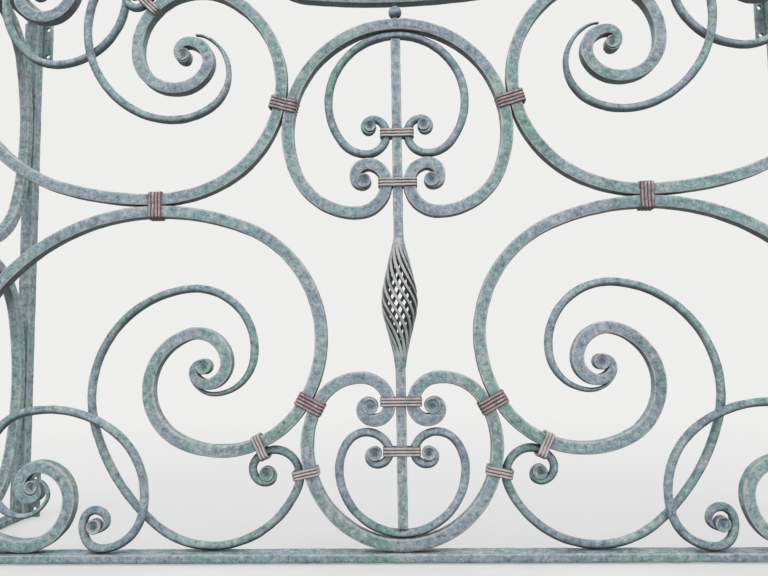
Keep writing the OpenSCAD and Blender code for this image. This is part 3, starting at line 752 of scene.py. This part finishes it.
def straight_bar(name, low, high, corner, axis="Z", face=None):
    """A straight bar from low to high along an axis, with worn corners and rings for the hammer marks"""
    low, high = Vector(low), Vector(high)
    along, up, deep = {"Z": ((0, 0, 1), (1, 0, 0), (0, 1, 0)), "X": ((1, 0, 0), (0, 0, 1), (0, 1, 0)),
                       "Y": ((0, 1, 0), (0, 0, 1), (1, 0, 0))}[axis]
    sheet = Sheet((0, 0, 0), along, up, deep)
    middle, size = (low + high) / 2, high - low
    section = square_section(face or size.dot(sheet.up), face or size.dot(sheet.deep), corner)
    bar = Bar(name, sheet, section, low.dot(sheet.along), middle.dot(sheet.up), 0, middle.dot(sheet.deep))
    bar.grow([(size.dot(sheet.along) / MM, 0)])
    piece = bar.close()
    # The rims of both ends are bevelled
    places = [vertex.co.dot(sheet.along) for vertex in piece.data.vertices]
    ends = min(places), max(places)
    pick(piece, [k for k, place in enumerate(places) if min(place - ends[0], ends[1] - place) < 1e-6])
    bpy.ops.mesh.bevel(offset=corner * END_BEVEL, segments=2, profile=0.5, affect="EDGES", loop_slide=False)
    bpy.ops.object.mode_set(mode="OBJECT")
    return piece


class RAILING_OT_baluster(bpy.types.Operator):
    """Forges the two lengths of the middle baluster and the ball above the rings"""

    bl_idname = "railing.baluster"
    bl_label = "Baluster"

    def execute(self, context):
        for name in ("baluster_lower", "baluster_upper"):
            low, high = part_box(name)
            piece = straight_bar(name, low, high, BALUSTER_CORNER, face=context.scene.railing_sizes.baluster)
            # Swaged round where it enters the basket
            foot = high.z if name == "baluster_lower" else low.z
            for vertex in piece.data.vertices:
                off = Vector((vertex.co.x - MIDDLE.x, vertex.co.y - MIDDLE.y, 0))
                swage = 1 - ease(abs(vertex.co.z - foot) / SWAGE)
                if swage > 0 and off.length > SWAGE_CORE:
                    vertex.co += off * (SWAGE_RADIUS / off.length - 1) * swage
            finished(piece, name, 0.9)
        # The ball stands on a fillet and carries one like it
        low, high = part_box("ball_finial")
        tall, radius = (high.z - low.z) / 2, 0.011
        fillet = [(0.0, tall), (0.0075, tall), (0.0072, tall - 0.0012), (0.0050, tall - 0.0024)]
        turns = [math.radians(a) for a in range(32, 150, 9)]
        profile = [(r, -h) for r, h in fillet] + [(radius * math.sin(a), -radius * math.cos(a)) for a in turns]
        profile += reversed(fillet)
        ball = lathe("ball_finial", (low + high) / 2, (0, 0, 1), profile, 28)
        finished(ball, "ball_finial", BALL_MARKS, 0.012)
        return {"FINISHED"}


def basket_radius(height):
    """Outer radius of the basket, smoothed over the drawn points"""
    total = 0.0
    lowest, highest = float(BASKET_OUTLINE[0][0]), float(BASKET_OUTLINE[-1][0])
    for k in range(-2, 3):
        h = max(lowest, min(highest, height / MM + 3.5 * k))
        for (a, ra), (b, rb) in zip(BASKET_OUTLINE, BASKET_OUTLINE[1:]):
            if a <= h <= b:
                total += ra + (rb - ra) * (h - a) / (b - a)
                break
    return total / 5 * MM


class RAILING_OT_basket(bpy.types.Operator):
    """Twists one strand of the basket and copies it round the baluster"""

    bl_idname = "railing.basket"
    bl_label = "Basket"

    def execute(self, context):
        middle, tall = MIDDLE + Vector((0, 0, BASKET_Z * MM)), BASKET_H * MM
        section = square_section(STRAND_DEPTH, context.scene.railing_sizes.strand, STRAND_CORNER)
        sheet = Sheet(middle - Vector((0, 0, tall / 2)), (0, 0, 1), (1, 0, 0), (0, 1, 0))
        strand = put_loop("basket_cage", sheet, 0, 0, 0, 0, section)
        for _ in range(STRAND_RINGS):
            bpy.ops.mesh.extrude_edges_move(TRANSFORM_OT_translate={"value": (0, 0, tall / STRAND_RINGS)})
        bpy.ops.object.mode_set(mode="OBJECT")
        for vertex in strand.data.vertices:
            off = vertex.co - middle
            t = off.z / tall
            spin = Matrix.Rotation(TWIST * (t + TWIST_DRIFT * math.sin(2 * math.pi * t)), 3, "Z")
            flat = spin @ Vector((off.x + basket_radius(off.z) - STRAND_DEPTH / 2, off.y, 0))
            vertex.co = middle + Vector((flat.x, flat.y, off.z))
        seal()
        # The face is worn, and the sides and the back are dark
        face = [across > 0.3 * STRAND_DEPTH for across, _, _ in section]
        mark(strand, "edge", [0.9 if outer else 0.2 for outer in face])
        mark(strand, "groove", [0.0 if outer else 0.85 for outer in face])
        pieces = [strand]
        for n in range(1, STRANDS):
            copy = strand.copy()
            copy.data = strand.data.copy()
            context.collection.objects.link(copy)
            turn = Matrix.Rotation(2 * math.pi * n / STRANDS, 4, "Z")
            copy.data.transform(Matrix.Translation(middle) @ turn @ Matrix.Translation(-middle))
            pieces.append(copy)
        profile = [(0.0, 0.0)] + [(basket_radius(tall / 2 - h) - low, h) for h, low in CONE] + [(0.0, CONE_TOP)]
        for up in (1, -1):
            pieces.append(lathe("cone", middle - Vector((0, 0, up * tall / 2)), (0, 0, up), profile))
        finished(join(pieces), "basket_cage", 0.5, 0.016, angle=50)
        return {"FINISHED"}


def reeds(length, beads):
    """Outline of a reeded band: (out, along, groove) points, the flat back first"""
    points = [(0.0, -length / 2, 0.0), (0.0, length / 2, 0.0)]
    pitch = length / beads
    for n in range(beads):
        top = length / 2 - pitch * n
        for k in range(6):
            a = math.pi * (k + 0.5) / 6
            out = COLLAR - REED + REED * math.sin(a) ** 0.8
            points.append((-out, top - pitch / 2 + pitch / 2 * math.cos(a), 1.0 - math.sin(a)))
    return points


def collar(name, x, z, angle, bars, length, beads, low, high, side=1):
    """A reeded band round bars that lie side by side; bars are (from, to) across them, low and high are its depth"""
    front = panel(side)
    lean = math.radians(angle)
    along = front.along * math.cos(lean) + front.up * math.sin(lean)
    sheet = Sheet(front.at(x * MM, z * MM), front.across(angle), front.deep, along)
    section = reeds(length, beads)
    start, low, high = bars[0][0] * MM + COLLAR_CORNER, low * MM, high * MM
    wide = (bars[-1][1] - bars[0][0]) * MM - 2 * COLLAR_CORNER
    round_corner = (COLLAR_CORNER, 90)
    band = put_loop(name, sheet, start, low, 0, 0, section)
    once_round = [(wide, 0), round_corner, (high - low - 2 * COLLAR_CORNER, 0), round_corner] * 2
    follow(sheet, start, low, 0, once_round, 0, COLLAR_PITCH)
    bpy.ops.object.mode_set(mode="OBJECT")
    dark, worn = BEADS[beads]
    mark(band, "groove", [groove * dark for _, _, groove in section])
    mark(band, "edge", [worn * (1 - groove) for _, _, groove in section])
    seams = [(a[1] + b[0]) / 2 * MM for a, b in zip(bars, bars[1:])]
    for vertex in band.data.vertices:
        off = vertex.co - sheet.origin
        u, v = off.dot(sheet.along), off.dot(sheet.up)
        pinch = sum(math.exp(-((u - seam) / PINCH_REACH) ** 2) for seam in seams)
        vertex.co -= sheet.up * (PINCH if v > (low + high) / 2 else -PINCH) * pinch
    weld(2e-5)
    return band


class RAILING_OT_collars(bpy.types.Operator):
    """Wraps the reeded collars round the bars that they bind"""

    bl_idname = "railing.collars"
    bl_label = "Collars"

    def execute(self, context):
        sizes = context.scene.railing_sizes
        bar, rod, upright = sizes.bar / MM, sizes.rod / MM, sizes.baluster / MM
        two = [(-bar - 0.3, -0.1), (0.1, bar + 0.3)]
        reach = (bar + rod + 2) / 2
        rod_outside, bar_outside = [[(-reach, seam), (seam, reach)] for seam in (reach - rod, reach - bar)]
        big, small = (BIG_COLLAR, 4, -bar / 2, bar / 2), (SMALL_COLLAR, 3, -bar / 2, rod)
        # Middle (x, z) of the left one of a pair and its tilt in degrees
        pairs = {
            "mid_collars": (-ANCHOR_X, ANCHOR_Z + bar / 2 + BIND_GAP / 2, 0, two, *big),
            "ring_collars": (-187.5, 722.5, 74, two, *big),
            "onion_collars": (-145.6, 229.6, 61.5, two, *big),
            "foot_collars": (-153.3, 121, 102, rod_outside, *small),
            "small_collars": (-225.5, 162.5, 24.5, bar_outside, *small),
            "crest_collars": (-415, 901, 45, bar_outside, SMALL_COLLAR, 3, -rod, bar / 2),
        }
        bands = {name: [collar(name, *place, side) for side in (1, -1)] for name, place in pairs.items()}
        # Height, reach to either side and depth of those round the baluster
        stems = {
            "collar_upper_ring": (587, 28.7, bar), "collar_inner_ring": (670, 24.7, upright),
            "collar_onion": (232, 30.3, bar), "collar_inner_onion": (154, 26.9, upright),
        }
        for name, (z, edge, deep) in stems.items():
            bars = [(-edge, -upright / 2), (-upright / 2, upright / 2), (upright / 2, edge)]
            bands[name] = [collar(name, 0, z, 90, bars, SMALL_COLLAR, 3, -deep / 2, deep / 2)]
        for name, made in bands.items():
            finished(join(made), name, COLLAR_MARKS, 0.012, "collar_patina", 60)
        return {"FINISHED"}


class RAILING_OT_rails(bpy.types.Operator):
    """Forges the bottom rails and the handrail"""

    bl_idname = "railing.rails"
    bl_label = "Rails"

    def execute(self, context):
        for name, axis in (("bottom_rail", "X"), ("side_rail_left", "Y"), ("side_rail_right", "Y")):
            finished(straight_bar(name, *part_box(name), RAIL_CORNER, axis), name)
        self.handrail()
        return {"FINISHED"}

    def section(self, tall):
        """Outline with chamfered upper edges: (out, up, edge) points"""
        half, cut, r = HANDRAIL / 2, tall / 4, HANDRAIL_CORNER
        corners = [Vector(v) for v in ((-half, 0), (half, 0), (half, tall - cut), (half - cut, tall),
                                       (cut - half, tall), (-half, tall - cut))]
        points = []
        for k, here in enumerate(corners):
            gap = corners[(k + 1) % len(corners)] - here
            back, ahead = (corners[k - 1] - here).normalized(), gap.normalized()
            points += [(*(here + back * r), 0.75), (*(here + (back + ahead) * r * 0.35), 1.0),
                       (*(here + ahead * r), 0.75)]
            parts = int(gap.length / FACETS)
            points += [(*(here + gap * n / parts), 0.0) for n in range(1, parts)]
        return points

    def handrail(self):
        """One bar with chamfered upper edges, mitred at both corners"""
        low, high = HAND_LOW, HAND_HIGH
        section = self.section(high.z - low.z)
        left, right, front = low.x + HANDRAIL / 2, high.x - HANDRAIL / 2, low.y + HANDRAIL / 2
        # A straight loop is drawn the whole way first, then each ring is set at its place round the corners;
        # the rings keep off the corners, so that they don't cross the mitres
        spare = HANDRAIL / 2 + MITRE
        reach, span = high.y - front - spare, right - left - 2 * spare
        n_side, n_front = round(reach / RINGS), round(span / RINGS)
        down = [high.y - reach * k / n_side for k in range(n_side + 1)]
        path = [((left, y), (-1, 0)) for y in down] + [((left, front), (-1, -1))]
        path += [((left + spare + span * k / n_front, front), (0, -1)) for k in range(n_front + 1)]
        path += [((right, front), (1, -1))] + [((right, y), (1, 0)) for y in reversed(down)]
        bar = Bar("handrail", Sheet((0, 0, 0), (1, 0, 0), (0, 1, 0), (0, 0, 1)), section, 0, 0, 0)
        for _ in path[1:]:
            bpy.ops.mesh.extrude_edges_move(TRANSFORM_OT_translate={"value": (0.01, 0, 0)})
        bpy.ops.object.mode_set(mode="OBJECT")
        for k, ((x, y), (out_x, out_y)) in enumerate(path):
            for vertex, (a, b, _) in zip(bar.ring(k), section):
                vertex.co = (x + out_x * a, y + out_y * a, low.z + b)
        finished(bar.close(), "handrail", 0.8, 0.04, angle=35)


class RAILING_OT_posts(bpy.types.Operator):
    """Forges the corner posts and the wall posts with their plates"""

    bl_idname = "railing.posts"
    bl_label = "Posts"

    def execute(self, context):
        for hand in ("left", "right"):
            name = f"corner_post_{hand}"
            finished(straight_bar(name, *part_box(name), POST_CORNER), name)
            name = f"wall_post_{hand}"
            low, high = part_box(name)
            x, half = (low.x + high.x) / 2, WALL_POST / 2
            piece = straight_bar(name, (x - half, low.y, low.z), (x + half, low.y + WALL_POST, high.z), POST_CORNER,
                                 face=WALL_POST)
            y = high.y - PLATE_SIZE[1] / 2
            plates = [self.plate(x, y, z) for z in (low.z + PLATE_UP, high.z - PLATE_UP)]
            finished(join([piece] + plates), name, 0.8, angle=35)
        return {"FINISHED"}

    def plate(self, x, y, z):
        """A fixing plate with rounded edges and four bolt holes"""
        bpy.ops.object.select_all(action="DESELECT")
        bpy.ops.mesh.primitive_cube_add(size=1, location=(x, y, z))
        piece = bpy.context.active_object
        piece.scale = PLATE_SIZE
        bpy.ops.object.transform_apply(location=True, rotation=True, scale=True)
        for dx, dz in ((-HOLE_X, -HOLE_Z), (-HOLE_X, HOLE_Z), (HOLE_X, -HOLE_Z), (HOLE_X, HOLE_Z)):
            bpy.ops.mesh.primitive_cylinder_add(vertices=24, radius=HOLE, depth=5 * PLATE_SIZE[1],
                                                location=(x + dx, y, z + dz), rotation=(math.pi / 2, 0, 0))
            drill = bpy.context.active_object
            cut = piece.modifiers.new("hole", "BOOLEAN")
            cut.operation, cut.object, cut.solver = "DIFFERENCE", drill, "EXACT"
            bpy.context.view_layer.objects.active = piece
            bpy.ops.object.modifier_apply(modifier="hole")
            bpy.data.objects.remove(drill)
        bevel = piece.modifiers.new("edges", "BEVEL")
        bevel.width, bevel.segments, bevel.limit_method, bevel.angle_limit = PLATE_BEVEL, 2, "ANGLE", math.radians(40)
        bpy.ops.object.modifier_apply(modifier="edges")
        mark(piece, "edge", [0.15])
        return piece


class RAILING_OT_side_returns(bpy.types.Operator):
    """Forges the stacked scrolls of both side returns"""

    bl_idname = "railing.side_returns"
    bl_label = "Side Returns"

    def execute(self, context):
        bar = context.scene.railing_sizes.bar
        for hand in ("left", "right"):
            name = f"side_scrolls_{hand}"
            low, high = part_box(name)
            corner_low, corner_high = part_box(f"corner_post_{hand}")
            corner_y = (corner_low.y + corner_high.y) / 2
            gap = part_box(f"wall_post_{hand}")[0].y + WALL_POST / 2 - corner_y
            sheet = Sheet(((low.x + high.x) / 2, corner_y + gap / 2, MIDDLE.z), (0, 1, 0), (0, 0, 1), (1, 0, 0))
            spine = ((gap - WALL_POST) / 2 - bar / 2) / MM - SEAT
            ways = [(SIDE, "middle_eye", None), (turned(SIDE), "middle_eye", None)]
            levels = (CLEAR / 4 / MM, CLEAR * 3 / 4 / MM)
            finished(join([scroll(name, sheet, "square", spine, z, 90, ways) for z in levels]), name)
        return {"FINISHED"}


class RAILING_OT_stage(bpy.types.Operator):
    """Sets the pale floor, the soft studio light and the camera"""

    bl_idname = "railing.stage"
    bl_label = "Stage"

    def execute(self, context):
        scene = context.scene
        bpy.ops.object.select_all(action="DESELECT")
        bpy.ops.mesh.primitive_plane_add(size=FLOOR_SIZE, location=(MIDDLE.x, MIDDLE.y, CAD_BOX[0][2] - FLOOR_GAP))
        floor = context.active_object
        floor.name = floor.data.name = "floor"
        bpy.ops.object.transform_apply(location=True, rotation=True, scale=True)
        floor.data.materials.append(finish_of("pale_floor"))
        for name, place, size, power in LIGHTS:
            light = bpy.data.lights.new(name, "AREA")
            light.shape, light.size, light.energy = "SQUARE", size, power
            lamp = bpy.data.objects.new(name, light)
            scene.collection.objects.link(lamp)
            lamp.location = MIDDLE + AIM + Vector(place)
            lamp.rotation_euler = (MIDDLE + AIM - lamp.location).to_track_quat("-Z", "Y").to_euler()
        scene.world = bpy.data.worlds.new("studio")
        scene.world.use_nodes = True
        n = Nodes(scene.world.node_tree)
        sky = n.tree.nodes["Background"]
        sky.inputs["Color"].default_value = SKY
        sky.inputs["Strength"].default_value = SKY_STRENGTH
        seen = n.node("Background", None, {"Color": (*scene.railing_finish.backdrop, 1)})
        both = n.node("MixShader", None, {0: n.seen(), 1: Wire(n.tree, sky.outputs[0]), 2: seen})
        n.tree.links.new(both.socket, n.tree.nodes["World Output"].inputs["Surface"])
        self.camera(scene)
        scene.view_settings.view_transform = "Standard"
        return {"FINISHED"}

    def camera(self, scene):
        """Stands the camera before the railing, a little below its middle, looking slightly up"""
        ahead = Vector((math.sin(TURN) * math.cos(TILT), math.cos(TURN) * math.cos(TILT), math.sin(TILT)))
        right = Vector((math.cos(TURN), -math.sin(TURN), 0))
        up = right.cross(ahead)
        right, up = right * math.cos(ROLL) + up * math.sin(ROLL), up * math.cos(ROLL) - right * math.sin(ROLL)
        data = bpy.data.cameras.new("camera")
        data.sensor_width = SENSOR
        data.lens = SENSOR * FOCAL_PIXELS / IMAGE_WIDTH
        data.clip_start, data.clip_end = 0.05, 50
        camera = bpy.data.objects.new("camera", data)
        scene.collection.objects.link(camera)
        axes = Matrix((right, up, -ahead)).transposed().to_4x4()
        camera.matrix_world = Matrix.Translation(MIDDLE + CAMERA_PLACE) @ axes
        scene.camera = camera


class RAILING_PT_panel(bpy.types.Panel):
    """Lists the railing's sizes, colours and steps"""

    bl_idname = "RAILING_PT_panel"
    bl_label = "Railing"
    bl_space_type = "VIEW_3D"
    bl_region_type = "UI"
    bl_category = "Railing"

    def draw(self, context):
        for group in (context.scene.railing_sizes, context.scene.railing_finish):
            box = self.layout.box()
            for name in group.__annotations__:
                box.prop(group, name)
        for step in STEPS:
            self.layout.operator(step.bl_idname)


STEPS = (RAILING_OT_big_scrolls, RAILING_OT_round_scrolls, RAILING_OT_centre_scrolls, RAILING_OT_baluster,
         RAILING_OT_basket, RAILING_OT_collars, RAILING_OT_rails, RAILING_OT_posts, RAILING_OT_side_returns,
         RAILING_OT_stage)
CLASSES = (RailingSizes, RailingFinish, *STEPS, RAILING_PT_panel)


def register():
    for cls in CLASSES:
        bpy.utils.register_class(cls)
    bpy.types.Scene.railing_sizes = PointerProperty(type=RailingSizes)
    bpy.types.Scene.railing_finish = PointerProperty(type=RailingFinish)


def unregister():
    del bpy.types.Scene.railing_sizes
    del bpy.types.Scene.railing_finish
    for cls in reversed(CLASSES):
        bpy.utils.unregister_class(cls)


def main():
    register()
    bpy.ops.railing.big_scrolls()
    bpy.ops.railing.round_scrolls()
    bpy.ops.railing.centre_scrolls()
    bpy.ops.railing.baluster()
    bpy.ops.railing.basket()
    bpy.ops.railing.collars()
    bpy.ops.railing.rails()
    bpy.ops.railing.posts()
    bpy.ops.railing.side_returns()
    bpy.ops.railing.stage()


if __name__ == "__main__":
    main()
